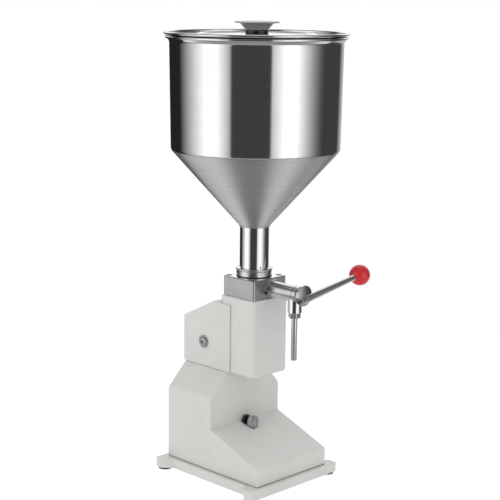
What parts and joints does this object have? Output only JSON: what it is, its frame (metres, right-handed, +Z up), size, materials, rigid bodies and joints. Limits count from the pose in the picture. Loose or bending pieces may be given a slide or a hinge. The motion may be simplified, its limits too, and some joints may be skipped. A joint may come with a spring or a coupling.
{
  "type": "piston liquid filler",
  "caption": "Bench-top hand piston filler: conical steel hopper with lid, valve block with hand lever and outlet nozzle, column, housing and foot plate.",
  "frame": {"origin": "centre of the foot holes on the table plane", "axes": "+Z up, -Y towards the front (nozzle side), +X to the right seen from the front"},
  "size_m": [0.3025, 0.3, 0.7632],
  "materials": {
    "cream_paint": "semi-gloss light warm grey enamel",
    "polished_steel": "mirror-polished stainless steel",
    "machined_steel": "fine machined stainless steel",
    "zinc_steel": "zinc plated",
    "dark_steel": "blackened steel",
    "bronze": "plain bearing bronze",
    "black_rubber": "matt",
    "white_seal": "food-grade silicone",
    "red_ball": "glossy phenolic",
    "grey_plastic": "moulded, satin",
    "black_plastic": "moulded, glossy"
  },
  "bodies": {
    "stand": {"rubber_pads": "black_rubber", "base_plate": "cream_paint", "base_gasket": "black_rubber", "housing_screws": "zinc_steel", "lower_housing": "cream_paint", "frame_screws": "zinc_steel", "column_casting": "cream_paint", "cylinder_liner": "machined_steel", "liner_seal": "black_rubber", "block_gasket": "white_seal", "valve_block": "machined_steel", "block_screws": "zinc_steel", "collar_set_screw": "dark_steel", "rear_gland": "machined_steel", "discharge_tube": "polished_steel", "tube_washer": "polished_steel", "tube_lock_nut": "machined_steel", "outlet_nipple": "polished_steel", "nozzle_tube": "polished_steel", "nozzle_nut": "machined_steel", "link_guide_bush": "bronze", "pivot_bolt": "zinc_steel", "pivot_washers": "zinc_steel", "pivot_nut": "zinc_steel", "pivot_spacers": "zinc_steel", "rocker_brackets": "zinc_steel", "rear_cover": "cream_paint", "cover_screws": "zinc_steel", "adjusting_lock_nut": "dark_steel", "thread_insert": "bronze", "hopper_shell": "polished_steel", "hopper_neck": "polished_steel", "neck_collar": "machined_steel", "neck_gasket": "black_rubber", "neck_ring": "machined_steel"},
    "lever": {"valve_spindle": "machined_steel", "spindle_seals": "white_seal", "lever_hub": "polished_steel", "lever_arm": "polished_steel", "lever_screw": "dark_steel", "ball_knob": "red_ball", "crank_disc": "zinc_steel", "crank_set_screw": "dark_steel", "crank_pin": "zinc_steel"},
    "link": {"link_rod": "zinc_steel", "link_pin": "zinc_steel"},
    "rocker": {"rocker": "zinc_steel", "rocker_bush": "bronze", "stop_pad": "black_rubber"},
    "piston": {"piston": "machined_steel", "piston_seals": "white_seal", "piston_rod": "machined_steel", "clevis": "machined_steel", "clevis_pin": "zinc_steel", "clevis_clips": "zinc_steel"},
    "screw": {"adjusting_screw": "dark_steel"},
    "screw_knob": {"adjusting_knob": "dark_steel"},
    "lid": {"hopper_lid": "polished_steel", "knob_base": "black_plastic", "lid_knob": "grey_plastic"}
  },
  "joints": [
    {"name": "lever_swing", "type": "hinge", "parent": "stand", "child": "lever", "pos_m": [0, -0.1, 0.33], "axis": [0, -1, 0], "range_deg": [0, 90]},
    {"name": "link_slide", "type": "slide", "parent": "stand", "child": "link", "axis": [0, 0, 1], "range_m": [0, 0.0119]},
    {"name": "rocker_swing", "type": "hinge", "parent": "stand", "child": "rocker", "pos_m": [0, 0.06, 0.225], "axis": [-1, 0, 0], "range_deg": [0, 24]},
    {"name": "piston_slide", "type": "slide", "parent": "stand", "child": "piston", "axis": [0, 0, 1], "range_m": [0, 0.03188]},
    {"name": "knob_turn", "type": "hinge", "parent": "screw", "child": "screw_knob", "pos_m": [0, -0.0165, 0.0915], "axis": [0, -1, 0], "range_deg": [0, 2160]},
    {"name": "screw_feed", "type": "slide", "parent": "stand", "child": "screw", "axis": [0, -1, 0], "range_m": [0, 0.009]},
    {"name": "lid_lift", "type": "slide", "parent": "stand", "child": "lid", "axis": [0, 0, 1], "range_m": [0, 0.2]}
  ],
  "couplings": [
    {"joint": "link_slide", "follows": "lever_swing", "m_per_rad": 0.0075778},
    {"joint": "rocker_swing", "follows": "lever_swing", "ratio": 0.26667},
    {"joint": "piston_slide", "follows": "lever_swing", "m_per_rad": 0.020298},
    {"joint": "knob_turn", "follows": "screw_feed", "rad_per_m": 4188.8}
  ]
}
